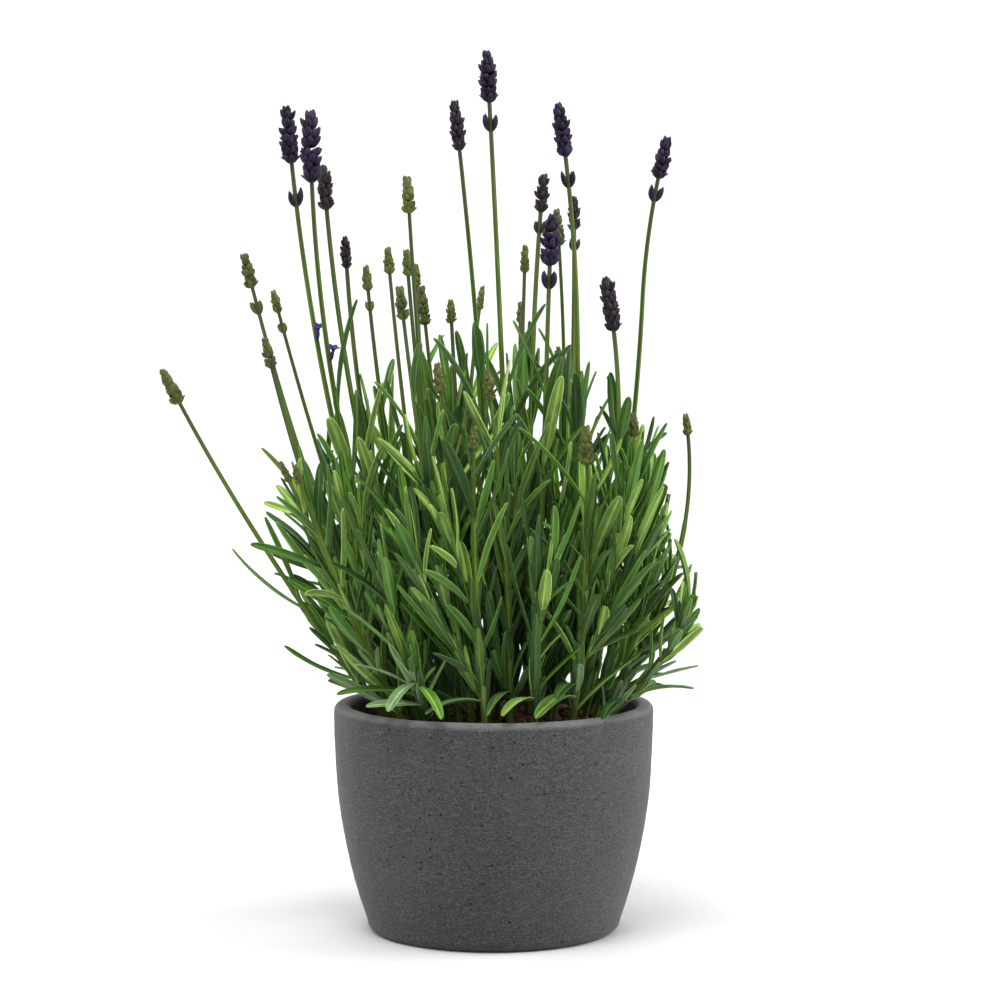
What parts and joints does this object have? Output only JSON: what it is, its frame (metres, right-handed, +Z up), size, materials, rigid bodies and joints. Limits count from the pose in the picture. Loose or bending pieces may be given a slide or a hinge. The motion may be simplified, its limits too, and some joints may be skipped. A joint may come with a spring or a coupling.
{
  "type": "potted lavender",
  "caption": "Narrow-leaved lavender with purple flower spikes and green buds on thin stalks, rooted in the soil of a plain dark round stoneware pot.",
  "frame": {"origin": "middle of the pot's flat foot, on the surface that it stands on", "axes": "+Z up along the pot's axis; -Y is the front, which shows most of the flower spikes spread left to right; +X to the right"},
  "size_m": [0.2351, 0.1489, 0.3841],
  "materials": {
    "pot_stone": "matt, finely speckled and pitted",
    "potting_soil": "loose, crumbly peat and bark",
    "stalk_green": "satin, ribbed, square",
    "leaf_green": "satin, finely downy",
    "spike_purple": "matt, felted"
  },
  "bodies": {
    "root": {"leafy_shoot_01": "leaf_green", "leafy_shoot_02": "leaf_green", "leafy_shoot_03": "leaf_green", "leafy_shoot_04": "leaf_green", "leafy_shoot_05": "leaf_green", "leafy_shoot_06": "leaf_green", "leafy_shoot_07": "leaf_green", "leafy_shoot_08": "leaf_green", "leafy_shoot_09": "leaf_green", "leafy_shoot_10": "leaf_green", "leafy_shoot_11": "leaf_green", "leafy_shoot_12": "leaf_green", "leafy_shoot_13": "leaf_green", "leafy_shoot_14": "leaf_green", "leafy_shoot_15": "leaf_green", "leafy_shoot_16": "leaf_green", "leafy_shoot_17": "leaf_green", "leafy_shoot_18": "leaf_green", "leafy_shoot_19": "leaf_green", "pot": "pot_stone", "potting_soil": "potting_soil", "spike_01": "spike_purple", "spike_02": "spike_purple", "spike_03": "spike_purple", "spike_04": "spike_purple", "spike_05": "spike_purple", "spike_06": "spike_purple", "spike_07": "spike_purple", "spike_08": "spike_purple", "spike_09": "spike_purple", "spike_10": "spike_purple", "spike_11": "spike_purple", "spike_12": "spike_purple", "stalk_01": "stalk_green", "stalk_02": "stalk_green", "stalk_03": "stalk_green", "stalk_04": "stalk_green", "stalk_05": "stalk_green", "stalk_06": "stalk_green", "stalk_07": "stalk_green", "stalk_08": "stalk_green", "stalk_09": "stalk_green", "stalk_10": "stalk_green", "stalk_11": "stalk_green", "stalk_12": "stalk_green", "stalk_13": "stalk_green", "stalk_14": "stalk_green", "stalk_15": "stalk_green", "stalk_16": "stalk_green", "stalk_17": "stalk_green", "stalk_18": "stalk_green", "stalk_19": "stalk_green", "stalk_20": "stalk_green", "stalk_21": "stalk_green", "stalk_22": "stalk_green", "stalk_23": "stalk_green", "stalk_24": "stalk_green", "stalk_25": "stalk_green", "stalk_26": "stalk_green", "stalk_27": "stalk_green"}
  },
  "joints": []
}
